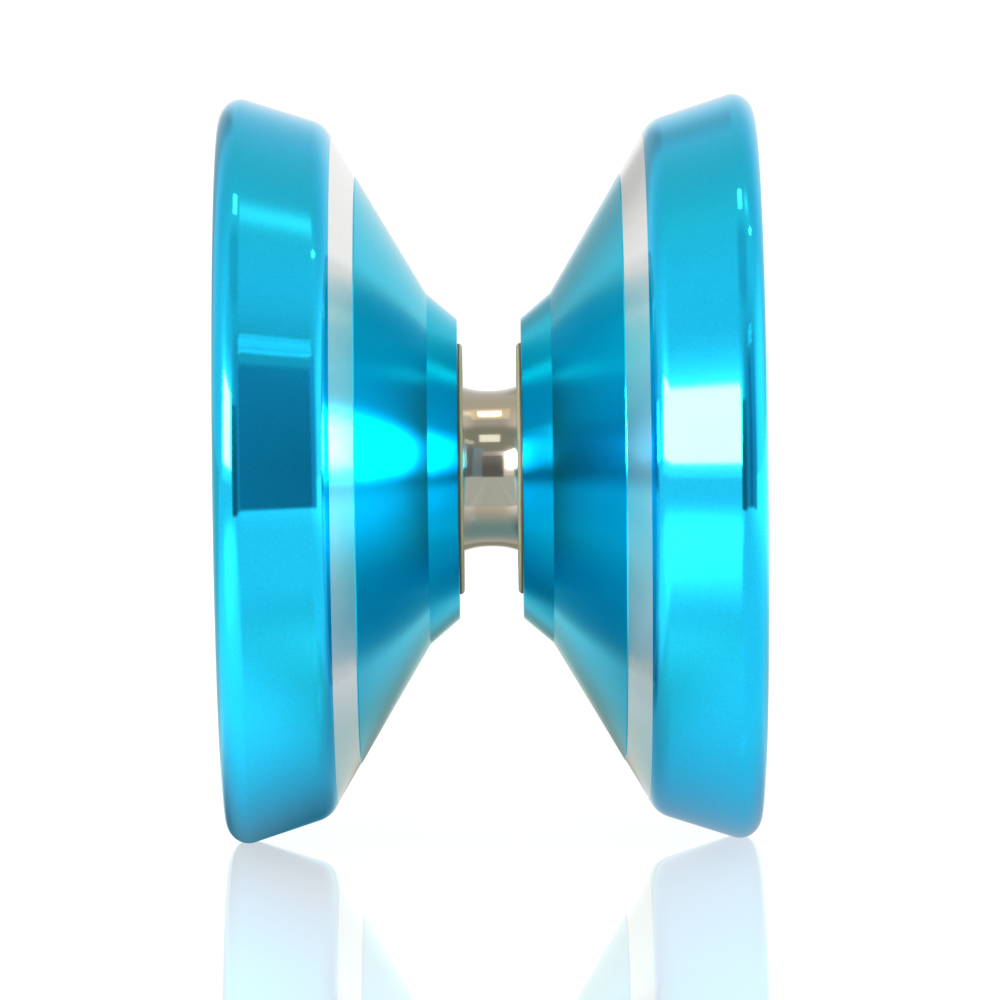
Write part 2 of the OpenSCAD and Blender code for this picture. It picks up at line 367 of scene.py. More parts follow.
def turned_metal(name, color, edge, across, along, grain, turn, mottle, vary=0.03,
                 coat=0.0, diffuse=0.0, blur=0.0):
    """Lathe-turned metal, under an optional clear layer.

    across and along are the spreads of slope across and along the tool marks; grain and turn
    are bump heights in metres; mottle and vary are strengths of fine and slow tone; diffuse is
    a share of matt white; blur is extra roughness for rays that come off another gloss.
    """
    tree = Shader(bpy.data.materials.new(name))
    point, x, y, z, radius = turned_coords(tree)
    slow = tree.noise(point, scale=260.0, detail=3.0, rough=0.55)
    cloud = tree.noise(point, scale=1500.0, detail=2.0)
    marks = tree.noise(tree.vec(x, radius, 0.0), scale=6000.0, detail=2.0)
    fine = tree.noise(point, scale=12000.0, detail=1.0)
    satin = tree.noise(point, scale=8500.0, detail=1.0, rough=0.6)
    tone = tree.plus(tree.swing(slow, vary * 2.0),
                     tree.plus(tree.swing(marks, vary), tree.swing(cloud, vary)))
    tone = tree.plus(tone, tree.swing(satin, mottle))
    shade = tree.out("HueSaturation", {"Color": color, "Value": tree.plus(1.0, tone)})
    normal = tree.bump(tree.plus(tree.mul(fine, grain), tree.mul(marks, turn)))

    # the two spreads as one roughness and its anisotropy
    rough = math.sqrt(math.sqrt(across * along))
    stretch = min(1.0, (1.0 - along / across) / 0.9)
    again = tree.ray("Is Glossy Ray") if blur else 0.0
    drift = tree.plus(0.92, tree.mul(slow, 0.16))
    relax = tree.mul(again, 0.25 if blur else 0.0)
    # the tool marks run round the axis
    tangent = tree.out("VectorMath", (tree.vec(0.0, tree.mul(z, -1.0), y),),
                       operation="NORMALIZE")
    tangent = tree.out("VectorTransform", (tangent,), vector_type="VECTOR",
                       convert_from="OBJECT", convert_to="WORLD")
    surface = tree.out("BsdfMetallic", {
        "Base Color": shade, "Edge Tint": edge,
        "Roughness": tree.plus(tree.mul(again, blur), tree.mul(rough, drift)),
        "Anisotropy": tree.mul(stretch, tree.minus(1.0, relax)),
        "Rotation": 0.25, "Tangent": tangent, "Normal": normal,
    }, distribution="BECKMANN", fresnel_type="F82")
    if diffuse:
        matt = tree.out("BsdfDiffuse", {"Color": (0.9, 0.9, 0.9)})
        surface = tree.mix_shader(diffuse, surface, matt)
    if coat:
        clear = tree.out("BsdfGlossy", {"Roughness": 0.09, "Normal": normal},
                         distribution="GGX")
        fresnel = tree.out("Fresnel", {"IOR": 1.5})
        surface = tree.mix_shader(tree.mul(fresnel, coat), surface, clear)
    return tree.finish(surface)


ANODISED = turned_metal(
    "anodised_blue", color=(0.0062, 0.50, 0.80), edge=(0.80, 0.95, 0.98), across=0.06,
    along=0.004, grain=0.0000001, turn=0.0000002, mottle=0.26, coat=0.19)
ANODISED_IN = turned_metal(
    "anodised_blue_inner", color=(0.0025, 0.54, 0.76), edge=(0.80, 0.95, 0.95), across=0.145,
    along=0.030, grain=0.0000020, turn=0.0000003, mottle=0.26, coat=0.06, blur=0.04)
BARE_METAL = turned_metal(
    "bare_aluminium", color=(0.86, 0.87, 0.85), edge=(1.0, 1.0, 1.0), across=0.21,
    along=0.02, grain=0.0000010, turn=0.0000016, mottle=0.12, vary=0.04, diffuse=0.06)
RACE = plain_surface("polished_race", color=(0.46, 0.41, 0.335), rough=0.09, vary=0.05,
                     turn=0.0000012, turn_scale=16000.0, grain=0.0000002)
BALL = plain_surface("ball_steel", color=(0.74, 0.74, 0.75), rough=0.05, vary=0.03,
                     grain=0.0000001)
INNER_RACE = plain_surface("ground_race", color=(0.62, 0.61, 0.59), rough=0.16, vary=0.05,
                           turn=0.0000025, turn_scale=16000.0)
SHIELD = plain_surface("shield_steel", color=(0.58, 0.58, 0.57), rough=0.24, vary=0.06,
                       turn=0.000002, turn_scale=12000.0)
CAGE = plain_surface("cage_steel", color=(0.52, 0.50, 0.46), rough=0.3, vary=0.08,
                     grain=0.000002, grain_scale=7000.0)
SPRING = plain_surface("spring_wire", color=(0.42, 0.41, 0.40), rough=0.22, vary=0.08,
                       grain=0.000002)
AXLE = plain_surface("axle_steel", color=(0.16, 0.155, 0.15), rough=0.32, vary=0.12,
                     grain=0.000003, grain_scale=7000.0, turn=0.000002)
# painted shade: the pads are darkened where they enter their grooves
SILICONE = plain_surface(
    "silicone_pad", color=(0.72, 0.70, 0.44), rough=0.55, vary=0.08, metallic=0.0,
    grain=0.00001, grain_scale=2600.0, painted_shade=(0.00217, 0.00232, (0.05, 0.07, 0.055)),
    more={"Subsurface Weight": 0.35, "Subsurface Scale": 0.0008, "Specular IOR Level": 0.35})


# ---------------------------------------------------------------- finishing pieces
def finish_piece(ob, materials, body, node):
    for material in materials:
        ob.data.materials.append(material)
    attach(ob, body)
    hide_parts(node)


def turned_ring(name, path, material, body, node, flip):
    """A closed ring from a path of (x, radius, corner radius)."""
    strips = strips_of([(*stop, 0) for stop in path], closed=True, steps=6)
    finish_piece(lathe(name, strips, 256, flip), [material], body, node)


# ---------------------------------------------------------------- the two halves
HALF_SEGS = 340
HALF_W, RIM_R = 20.3, 56.5 / 2            # outer face from the middle, and the rim
WALL_X, WALL_R = 2.41, 22.76 / 2          # flat wall beside the gap
HUB_ANGLE, KNEE_X = math.radians(40.3), 4.68   # steep cone outside the flat, and its end
WALL_ANGLE = math.radians(59.4)           # long cone from the knee towards the rim
KNEE_R = WALL_R + (KNEE_X - WALL_X) * math.tan(HUB_ANGLE)
CORNER_X, CORNER_R = 12.37, 2.3           # where the long cone turns to the crest
CREST_A, CREST_B = 1.66, 1.84             # half axes of the elliptical crest, along x and r
BAND_X0, BAND_X1, BAND_DEPTH = 9.96, 11.78, 0.05   # bare band sunk in the long cone
BAND_CORNER = 0.02
LIP_R, CUP_R, STEP_X = 23.8, 23.8 - 2.5, 13.0      # mouth of the outer face's hollow
WEB_T, FLOOR_X = 2.2, 6.6                 # wall thickness behind the cone, hollow's floor
BOSS_X, BOSS_R = 11.3, 9.4 / 2            # boss in the middle of the hollow
POST_X, POST_R, SEAT_R, POCKET_R = 0.6, 3.15, 3.95, 6.7   # post and pocket for the bearing
POCKET_X = WALL_X + 0.34
HOLE_R, HOLE_X, HOLE_CHAMFER = 2.03, 8.6, 0.35
DRILL_POINT = math.radians(31)
PAD_IN, PAD_OUT, PAD_FACE, PAD_X = 7.35, 9.525, 2.05, 3.11  # pad radii, its face and back
PAD_PLAY = 0.05
RACE_X = 2.3815                           # half the bearing's width

ANOD, BARE, INNER_ANOD = 0, 1, 2          # material slots


def wall_at(x):
    """Radius of the long cone."""
    return KNEE_R + (x - KNEE_X) * math.tan(WALL_ANGLE)


def crest_points(centre):
    """Points and normals of the crest, from where it meets the corner's tangent."""
    x = (CORNER_X - centre[0]) / CREST_A
    y = (wall_at(CORNER_X) - centre[1]) / CREST_B
    start = math.atan2(y, x) % (2 * math.pi) - math.acos(1 / math.hypot(x, y))
    points = []
    for i in range(41):
        angle = start * (1 - i / 40)
        cosine, sine = math.cos(angle), math.sin(angle)
        points.append((np.array([centre[0] + CREST_A * cosine, centre[1] + CREST_B * sine]),
                       unit(np.array([cosine / CREST_A, sine / CREST_B]))))
    return points


def half_strips():
    """Strips of the right half, from its axle hole round the rim to its boss."""
    along = np.array([math.cos(WALL_ANGLE), math.sin(WALL_ANGLE)])
    sink = BAND_DEPTH * np.array([math.sin(WALL_ANGLE), -math.cos(WALL_ANGLE)])
    band_start = np.array([BAND_X0, wall_at(BAND_X0)])
    band_end = np.array([BAND_X1, wall_at(BAND_X1)])
    web_x = WEB_T / math.sin(WALL_ANGLE)
    crest = crest_points((HALF_W - CREST_A, RIM_R - CREST_B))
    crest_start, crest_end = crest[0][0], crest[-1][0]
    path = [  # x, radius, corner radius, material slot
        # blind axle hole and the post round it
        (HOLE_X + HOLE_R * math.tan(DRILL_POINT), 0, 0, ANOD),
        (HOLE_X, HOLE_R, 0, BARE),
        (POST_X + HOLE_CHAMFER, HOLE_R, 0, BARE),
        (POST_X, HOLE_R + HOLE_CHAMFER, 0, ANOD),
        (POST_X, POST_R - 0.2, 0.05, ANOD),
        (POST_X + 0.2, POST_R, 0.05, ANOD),
        # the bearing's seat and pocket
        (RACE_X, POST_R, 0, ANOD),
        (RACE_X, SEAT_R, 0.03, ANOD),
        (POCKET_X, SEAT_R, 0, ANOD),
        (POCKET_X, POCKET_R, 0.08, ANOD),
        (WALL_X, POCKET_R, 0.05, INNER_ANOD),
        # the pad's groove
        (WALL_X, PAD_IN - PAD_PLAY, 0.05, ANOD),
        (PAD_X, PAD_IN - PAD_PLAY, 0, ANOD),
        (PAD_X, PAD_OUT + PAD_PLAY, 0, ANOD),
        (WALL_X, PAD_OUT + PAD_PLAY, 0.05, INNER_ANOD),
        # the two cones, with the sunk band
        (WALL_X, WALL_R, 0.2, INNER_ANOD),
        (KNEE_X, KNEE_R, 0.3, INNER_ANOD),
        (*(band_start - 0.012 * along), BAND_CORNER, INNER_ANOD),
        (*(band_start + 0.11 * along + sink), BAND_CORNER, BARE),
        (*(band_end - 0.05 * along + sink), BAND_CORNER, BARE),
        (*(band_end + 0.012 * along), BAND_CORNER, ANOD),
        # the rim
        (CORNER_X, wall_at(CORNER_X), CORNER_R, ANOD),
        (*crest_start, 0, ANOD),
        (*crest_end, 0, ANOD),
        # the outer face's hollow and its boss
        (HALF_W, LIP_R, 0.35, ANOD),
        (STEP_X, LIP_R - 0.6, 0.8, ANOD),
        (STEP_X, LIP_R - 2, 0.3, ANOD),
        (KNEE_X + (CUP_R - KNEE_R) / math.tan(WALL_ANGLE) + web_x, CUP_R, 0.3, ANOD),
        (FLOOR_X, wall_at(FLOOR_X - web_x), 1.5, ANOD),
        (FLOOR_X, BOSS_R + 1.9, 1.2, ANOD),
        (BOSS_X - 0.6, BOSS_R, 0.8, ANOD),
        (BOSS_X, BOSS_R - 1.6, 0.6, ANOD),
        (BOSS_X - 0.3, 0, 0, ANOD),
    ]
    strips = []
    for strip in strips_of(path, closed=False, steps=10):
        # the ellipse takes the place of the straight between the crest's two ends
        if np.allclose(strip[0], crest_start) and np.allclose(strip[2], crest_end):
            strips += [(*start, *end, ANOD) for start, end in zip(crest, crest[1:])]
        else:
            strips.append(strip)
    return strips


def build_halves():
    strips = half_strips()
    for side, flip in SIDES:
        finish_piece(lathe(f"{side}_half_turned", strips, HALF_SEGS, flip),
                     [ANODISED, BARE_METAL, ANODISED_IN], side,
                     f"{side}_half")


def build_pads():
    path = [(PAD_FACE, PAD_IN, 0.2), (PAD_X, PAD_IN, 0.05),
            (PAD_X, PAD_OUT, 0.05), (PAD_FACE, PAD_OUT, 0.3)]
    for side, flip in SIDES:
        turned_ring(f"response_pad_{side}_ring", path, SILICONE, side,
                    f"response_pad_{side}", flip)


build_halves()
build_pads()

# ---------------------------------------------------------------- the bearing
BORE_R, RACE_OD_R = 3.175, 6.35
PITCH_R = (BORE_R + RACE_OD_R) / 2        # circle of the balls' centres
INNER_RACE_R, OUTER_LAND_R = 4.25, 5.3    # lands beside the ball grooves
GROOVE_R, BALL_R, BALLS = 0.83, 0.79375, 10
COUNTERBORE_R = 5.62                      # holds the shield and the snap ring
SHIELD_X, SHIELD_T = 1.63, 0.2
WIRE_X, WIRE_R = 2.01, 0.16               # snap ring's wire
WAIST_R, OUTER_CHAMFER, INNER_CHAMFER = 5.92, 0.1, 0.12


def ball_groove(land_r, side):
    """Arc of a ball groove between its lands; side is +1 outside the balls, -1 inside."""
    reach = math.acos(abs(land_r - PITCH_R) / GROOVE_R)
    arc = []
    for i in range(25):
        angle = reach * (2 * i / 24 - 1)
        arc.append((-GROOVE_R * math.sin(angle) * side,
                    PITCH_R + GROOVE_R * math.cos(angle) * side))
    return arc


def mirrored(path):
    return [(-x, radius) for x, radius in path]


def outer_race_path():
    edge = RACE_X - OUTER_CHAMFER
    outside = []  # hollowed to a waist in the middle
    for i in range(49):
        x = edge * (2 * i / 48 - 1)
        outside.append((x, WAIST_R + (RACE_OD_R - WAIST_R) * (abs(x) / edge) ** 2.3))
    chamfer = [(RACE_X - 0.03, RACE_OD_R - 0.02), (RACE_X, RACE_OD_R - OUTER_CHAMFER + 0.02)]
    outer_x, inner_x = WIRE_X + WIRE_R + 0.01, WIRE_X - WIRE_R - 0.01
    bottom_r = COUNTERBORE_R + WIRE_R + 0.02
    inside = [(RACE_X, COUNTERBORE_R), (outer_x, COUNTERBORE_R), (outer_x, bottom_r),
              (inner_x, bottom_r), (inner_x, COUNTERBORE_R), (SHIELD_X, COUNTERBORE_R),
              (SHIELD_X, OUTER_LAND_R)]
    return (outside + chamfer + inside + ball_groove(OUTER_LAND_R, 1)
            + mirrored(inside[::-1]) + mirrored(chamfer[::-1]))


def inner_race_path():
    chamfer_x = RACE_X - INNER_CHAMFER
    bore = [(RACE_X, BORE_R + INNER_CHAMFER), (chamfer_x, BORE_R)]
    land = [(RACE_X, INNER_RACE_R - INNER_CHAMFER), (chamfer_x, INNER_RACE_R)]
    return (mirrored(bore) + bore[::-1] + land
            + mirrored(ball_groove(INNER_RACE_R, -1)) + mirrored(land[::-1]))


def build_races():
    finish_piece(lathe("bearing_outer_race_ring", smooth_strips(outer_race_path()), 360),
                 [RACE], "bearing_outer", "bearing_outer_race")
    finish_piece(lathe("bearing_inner_race_ring", smooth_strips(inner_race_path()), 256),
                 [INNER_RACE], "bearing_inner", "bearing_inner_race")


def build_shields():
    face_x = SHIELD_X + SHIELD_T
    path = [(SHIELD_X, INNER_RACE_R + 0.1, 0.03), (face_x, INNER_RACE_R + 0.1, 0.04),
            (face_x, COUNTERBORE_R - 0.5, 0.04), (face_x - 0.03, COUNTERBORE_R - 0.44, 0.04),
            (face_x - 0.03, COUNTERBORE_R - 0.04, 0.04), (SHIELD_X, COUNTERBORE_R - 0.04, 0.03)]
    for side, flip in SIDES:
        turned_ring(f"bearing_shield_{side}_washer", path, SHIELD, "bearing_outer",
                    f"bearing_shield_{side}", flip)


def snap_ring(name, flip):
    """An open wire ring with rounded ends, its gap at the bottom."""
    sign = -1.0 if flip else 1.0
    start, sweep, lengths, around = math.radians(22), math.radians(315), 160, 20
    lead = WIRE_R / COUNTERBORE_R  # angle taken by a rounded end
    # stations are (angle round the ring, share of the wire's radius)
    ends = [(lead * (1 - math.cos(math.pi / 2 * i / 8)), max(0.03, math.sin(math.pi / 2 * i / 8)))
            for i in range(9)]
    stations = [(start + turn, share) for turn, share in ends]
    stations += [(start + lead + (sweep - 2 * lead) * i / lengths, 1.0)
                 for i in range(1, lengths)]
    stations += [(start + sweep - turn, share) for turn, share in reversed(ends)]
    verts, faces = [], []
    for turn, share in stations:
        for j in range(around):
            angle = 2 * math.pi * j / around
            x = WIRE_X + WIRE_R * share * math.cos(angle)
            radius = COUNTERBORE_R + WIRE_R * share * math.sin(angle)
            # turn runs from -Z towards +Y
            verts.append((sign * x * MM, radius * math.sin(turn) * MM,
                          -radius * math.cos(turn) * MM))
    for i in range(len(stations) - 1):
        for j in range(around):
            k = (j + 1) % around
            faces.append([i * around + j, i * around + k,
                          (i + 1) * around + k, (i + 1) * around + j])
    faces.append(list(range(around))[::-1])
    faces.append(list(range((len(stations) - 1) * around, len(stations) * around)))
    if flip:
        faces = [face[::-1] for face in faces]
    mesh = bpy.data.meshes.new(name)
    mesh.from_pydata(verts, [], faces)
    mesh.polygons.foreach_set("use_smooth", np.ones(len(faces), bool))
    mesh.update()
    return add_object(name, mesh)


def build_snap_rings():
    for side, flip in SIDES:
        finish_piece(snap_ring(f"bearing_snap_ring_{side}_wire", flip), [SPRING],
                     "bearing_outer", f"bearing_snap_ring_{side}")


def build_balls():
    steps = 32
    arc = [np.array([-math.cos(math.pi * i / steps), math.sin(math.pi * i / steps)]) * BALL_R
           for i in range(steps + 1)]
    strips = [(start, unit(start), end, unit(end), 0) for start, end in zip(arc, arc[1:])]
    for i in range(1, BALLS + 1):
        angle = math.radians(360 / BALLS * (i - 1))
        ball = lathe(f"bearing_ball_{i}_steel", strips, 64)
        ball.data.transform(Matrix.Translation(
            (0, -PITCH_R * MM * math.sin(angle), PITCH_R * MM * math.cos(angle))))
        finish_piece(ball, [BALL], f"ball_{i}", f"bearing_ball_{i}")


build_races()
build_shields()
build_snap_rings()
build_balls()

# the cage keeps its CAD mesh
cage = frame["nodes"]["bearing_cage"]
cage.data.materials.clear()
cage.data.materials.append(CAGE)

# ---------------------------------------------------------------- the axle
# an M4 x 0.7 right-hand grub screw, with chamfered ends and a hexagon socket in each
THREAD_PITCH, MAJOR_R, MINOR_R = 0.7, 2.0, 1.57
AXLE_LENGTH, AXLE_CHAMFER = 16.0, 0.4
AXLE_AROUND, STEPS_PER_TURN = 72, 14
SOCKET_R, SOCKET_DEPTH, SOCKET_TIP = 1.0, 2.2, 0.45   # half across flats, depth, end cone
ROOT_FROM = 0.85                          # share of the thread's depth where the root rounds


def thread_radius(x, angle):
    phase = (x / THREAD_PITCH - angle / (2 * math.pi)) % 1.0
    # flanks of about 60 degrees, a flat crest of an eighth of the pitch and a rounded root
    off_crest = abs(phase - 0.5) * 2
    drop = min(1.0, max(0.0, (off_crest - 0.125) / 0.75))
    if drop >= ROOT_FROM:
        rest = 1 - ROOT_FROM
        drop = ROOT_FROM + rest * math.sin((drop - ROOT_FROM) / rest * math.pi / 2) * 0.8
    radius = MAJOR_R - (MAJOR_R - MINOR_R) * drop
    to_end = AXLE_LENGTH / 2 - abs(x)
    return min(radius, MAJOR_R - AXLE_CHAMFER + to_end) if to_end < AXLE_CHAMFER else radius


def socket_radius(angle, grow):
    """Radius of the hexagon; a grown one has its corners cut round."""
    radius = SOCKET_R / math.cos(angle % (math.pi / 3) - math.pi / 6)
    if grow > 1:
        radius = min(radius * grow, SOCKET_R / math.cos(math.pi / 6) * 1.06)
    return radius


def threaded_axle(name):
    around, end_x = AXLE_AROUND, AXLE_LENGTH / 2
    lengths = int(round(AXLE_LENGTH / THREAD_PITCH * STEPS_PER_TURN))
    angles = [2 * math.pi * j / around for j in range(around)]
    verts, faces = [], []

    def add_ring(x, radius_at):
        for angle in angles:
            radius = radius_at(angle)
            verts.append((x * MM, -radius * math.sin(angle) * MM, radius * math.cos(angle) * MM))

    for i in range(lengths + 1):
        x = -end_x + AXLE_LENGTH * i / lengths
        add_ring(x, lambda angle: thread_radius(x, angle))
    for i in range(lengths):
        for j in range(around):
            k = (j + 1) % around
            faces.append([i * around + k, (i + 1) * around + k,
                          (i + 1) * around + j, i * around + j])
    for end in (-1, 1):
        order = 1 if end < 0 else -1
        starts = [0 if end < 0 else lengths * around]
        # the socket's chamfered mouth, the hexagon's mouth and its floor
        for x, grow in ((end_x, 1.12), (end_x - 0.08, 1.0), (end_x - SOCKET_DEPTH, 1.0)):
            starts.append(len(verts))
            add_ring(end * x, lambda angle: socket_radius(angle, grow))
        for first, last in zip(starts, starts[1:]):
            for j in range(around):
                k = (j + 1) % around
                faces.append([first + j, last + j, last + k, first + k][::order])
        tip = len(verts)
        verts.append((end * (end_x - SOCKET_DEPTH - SOCKET_TIP) * MM, 0.0, 0.0))
        for j in range(around):
            faces.append([starts[-1] + j, tip, starts[-1] + (j + 1) % around][::order])
    mesh = bpy.data.meshes.new(name)
    mesh.from_pydata(verts, [], faces)
    mesh.update()
    axle = add_object(name, mesh)
    edit = bmesh.new()
    edit.from_mesh(mesh)
    bmesh.ops.recalc_face_normals(edit, faces=edit.faces)
    for edge in edit.edges:
        edge.smooth = edge.calc_face_angle(0) < math.radians(32)
    for face in edit.faces:
        face.smooth = True
    edit.to_mesh(mesh)
    edit.free()
    return axle


finish_piece(threaded_axle("axle_thread"), [AXLE], "left", "axle")

# ---------------------------------------------------------------- the floor
FLOOR_Z = CAD_LO.z - 0.00002
CAM_ELEV = math.radians(4.0)


def floor_seen(tree, point, x, y):
    """What the camera sees: a pale glossy floor that fades to plain light far away."""
    away = tree.math("SQRT", tree.squares(x, y))
    tone = tree.remap(tree.noise(point, scale=30.0, detail=2.0), 0.0, 1.0, 0.88, 0.92)
    matt = tree.out("BsdfDiffuse", {"Color": tree.vec(tone, tone, tone)})
    # light that soaks through a pale, thin floor
    pale = tree.mix_shader(0.75, matt, tree.emission(strength=1.4))
    gloss = tree.out("BsdfGlossy", {"Roughness": 0.02, "Color": (0.85, 1, 1)})
    near = tree.mix_shader(0.45, pale, gloss)
    return tree.mix_shader(tree.smooth(away, 0.25, 0.9), near, tree.emission(strength=1.08))


def floor_reflected(tree, x, y):
    """What the metal sees: the floor with its light painted on, and a faint sheen."""
    white, warm = (1.12, 1.12, 1.12), (0.80, 0.79, 0.70)
    deep, wide = tree.math("ABSOLUTE", y), tree.math("ABSOLUTE", x)
    # dim under each rim and between the halves
    rise = tree.smooth(deep, 0.0, 0.026)
    under = tree.mix(tree.smooth(x, -0.005, 0.005), tree.mix(rise, (0.04, 0.20, 0.26), white),
                     tree.mix(rise, (0.42, 0.50, 0.58), (1.12, 1.12, 1.14)))
    between = tree.mix(tree.smooth(deep, 0.002, 0.022), (0.30, 0.52, 0.58), warm)
    near = tree.mix(tree.smooth(wide, 0.005, 0.013), between, under)
    # warmer behind, brighter on the far right
    far = tree.mix(tree.smooth(y, -0.01, 0.03), white, warm)
    far = tree.mix(tree.smooth(x, 0.03, 0.2), far, (1.9, 1.9, 1.9))
    apart = tree.math("MAXIMUM", tree.smooth(wide, 0.021, 0.04), tree.smooth(deep, 0.03, 0.06))
    paint = tree.mix(apart, near, far)
    # light spilt at the left front, a painted pool of light in front of the middle, a painted
    # shadow behind
    spill = tree.decay(tree.squares(tree.plus(x, 0.045), tree.plus(y, 0.09)),
                       -1.0 / (0.07 * 0.07))
    patch = tree.decay(tree.squares(tree.minus(x, 0.0015), tree.plus(y, 0.0325)),
                       -1.0 / (0.008 * 0.008))
    shade = tree.mul(tree.smooth(wide, 0.028, 0.012),
                     tree.mul(tree.smooth(y, 0.016, 0.025), tree.smooth(y, 0.065, 0.04)))
    level = tree.mul(tree.plus(1.0, tree.mul(patch, 0.6)),
                     tree.minus(1.0, tree.mul(shade, 0.5)))
    spilt = tree.mul(tree.mul(spill, tree.smooth(x, 0.004, -0.02)), 0.85)
    glow = tree.emission(strength=tree.plus(level, spilt), color=paint)
    sheen = tree.out("BsdfGlossy", {"Roughness": 0.29, "Color": (0.014, 0.014, 0.014)})
    return tree.out("AddShader", (sheen, glow))


def build_floor():
    bpy.ops.mesh.primitive_plane_add(size=60, location=(0, 0, FLOOR_Z))
    floor = bpy.context.object
    floor.name = "floor"
    tree = Shader(bpy.data.materials.new("pale_floor"))
    point = tree.coords()
    x, y, _ = tree.split(point)
    material = tree.finish(tree.mix_shader(
        tree.ray("Is Camera Ray"), floor_reflected(tree, x, y), floor_seen(tree, point, x, y)))
    material.cycles.emission_sampling = "NONE"
    floor.data.materials.append(material)


build_floor()

# ---------------------------------------------------------------- the room
SOFTBOX_BEARING = -41.5  # degrees; negative is left of the front


def studio_level(tree, x, leant_y, leant_z, y, z):
    """Brightness of the room by direction."""
    level = 1.0
    # dim in front, below the ceiling
    front = tree.smooth(tree.mul(leant_y, -1.0), 0.05, 0.75)
    dim = tree.mul(front, tree.minus(1.0, tree.smooth(leant_z, 0.55, 0.95)))
    level = tree.minus(level, tree.mul(dim, 0.42))
    # bright at the far right, below the ceiling
    right = tree.mul(tree.smooth(x, 0.75, 0.98), tree.smooth(leant_z, 0.75, 0.3))
    level = tree.plus(level, tree.mul(right, 0.7))
    # behind: dimmer high up, and dimmer on the left
    rear = tree.mul(tree.smooth(leant_y, 0.0, 0.45), tree.smooth(leant_z, 0.3, 0.7))
    level = tree.minus(level, tree.mul(rear, 0.17))
    left_rear = tree.mul(tree.smooth(leant_y, 0.7, 0.9), tree.smooth(x, -0.08, -0.28))
    level = tree.minus(level, tree.mul(left_rear, 0.42))

    # glow round the softbox
    def beyond(angle, half_degrees):
        past = tree.minus(tree.math("ABSOLUTE", angle), math.radians(half_degrees))
        return tree.math("MAXIMUM", past, 0.0)

    bearing = tree.math("ARCTAN2", x, tree.mul(y, -1.0))
    height = tree.math("ARCSINE", z)
    aside = beyond(tree.plus(bearing, -math.radians(SOFTBOX_BEARING)), 20.5)
    above = beyond(tree.minus(height, math.radians(16)), 11.5)
    away = tree.math("SQRT", tree.squares(aside, above))
    level = tree.plus(level, tree.mul(tree.decay(away, -1.0 / math.radians(9)), 1.5))
    # dim high up in the middle of the front
    middle = tree.mul(
        tree.smooth(tree.math("ABSOLUTE", x), 0.5, 0.2),
        tree.mul(tree.smooth(leant_z, 0.7, 0.85), tree.smooth(leant_y, 0.06, -0.12)))
    return tree.minus(level, tree.mul(middle, 0.28))


def build_world():
    """White to the camera, and a soft studio to everything else."""
    scene.world = bpy.data.worlds.new("studio")
    tree = Shader(scene.world)
    x, y, z = tree.split(tree.coords("Generated"))
    # y and z each take in a little of the other, by the camera's elevation
    cosine, sine = math.cos(CAM_ELEV), math.sin(CAM_ELEV)
    leant_y = tree.plus(tree.mul(y, cosine), tree.mul(z, sine))
    leant_z = tree.minus(tree.mul(z, cosine), tree.mul(y, -sine))
    level = studio_level(tree, x, leant_y, leant_z, y, z)
    ceiling = tree.mul(tree.smooth(leant_z, 0.7, 0.86), tree.smooth(leant_y, -0.25, 0.1))
    color = tree.mix(ceiling, (1.0, 1.0, 1.0), (1.0, 0.98, 0.88))
    studio = tree.out("Background", {"Color": color, "Strength": level})
    white = tree.out("Background", {"Color": (1.0, 1.0, 1.0), "Strength": 1.0})
    tree.finish(tree.mix_shader(tree.ray("Is Camera Ray"), studio, white), "OutputWorld")


build_world()


# ---------------------------------------------------------------- lamps
def face_point(ob, target):
    ob.rotation_mode = "QUATERNION"
    ob.rotation_quaternion = (Vector(target) - ob.location).to_track_quat("-Z", "Y")


def direction(bearing, height):
    """Unit vector, bearing degrees right of the front and height degrees up."""
    bearing, height = math.radians(bearing), math.radians(height)
    return Vector((math.sin(bearing) * math.cos(height),
                   -math.cos(bearing) * math.cos(height), math.sin(height)))


def area_light(name, location, target, size, radiance, color=(1, 1, 1), matt_only=False):
    """A lamp seen by reflections only, or with matt_only by matt surfaces only."""
    lamp = bpy.data.lights.new(name, "AREA")
    lamp.shape = "RECTANGLE"
    lamp.size, lamp.size_y = size
    lamp.energy = radiance * math.pi * size[0] * size[1]
    lamp.color = color
    lamp.spread = math.radians(180)
    ob = add_object(name, lamp)
    ob.location = location
    face_point(ob, target)
    ob.visible_camera = False
    ob.visible_diffuse = matt_only
    ob.visible_glossy = not matt_only
    return ob


def on_ray(start, ray, distance):
    """Start in metres, and the place a distance along a ray from it; start is given in mm."""
    start = Vector(start) * MM
    return start, start + Vector(ray).normalized() * distance


def ray_light(name, start, ray, size, radiance, color=(1, 1, 1), distance=0.6):
    """A lamp met by a ray that leaves a point of the part (mm)."""
    target, location = on_ray(start, ray, distance)
    return area_light(name, location, target, size, radiance, color)


def reflect_only(ob, tree, shader):
    """Finishes a flat emitter that only reflections see."""
    material = tree.finish(shader)
    material.cycles.emission_sampling = "NONE"
    ob.data.materials.append(material)
    ob.visible_camera = ob.visible_diffuse = ob.visible_shadow = False
    ob.visible_transmission = False


def flat_piece(name, corners):
    mesh = bpy.data.meshes.new(name)
    mesh.from_pydata(corners, [], [list(range(len(corners)))])
    return add_object(name, mesh)


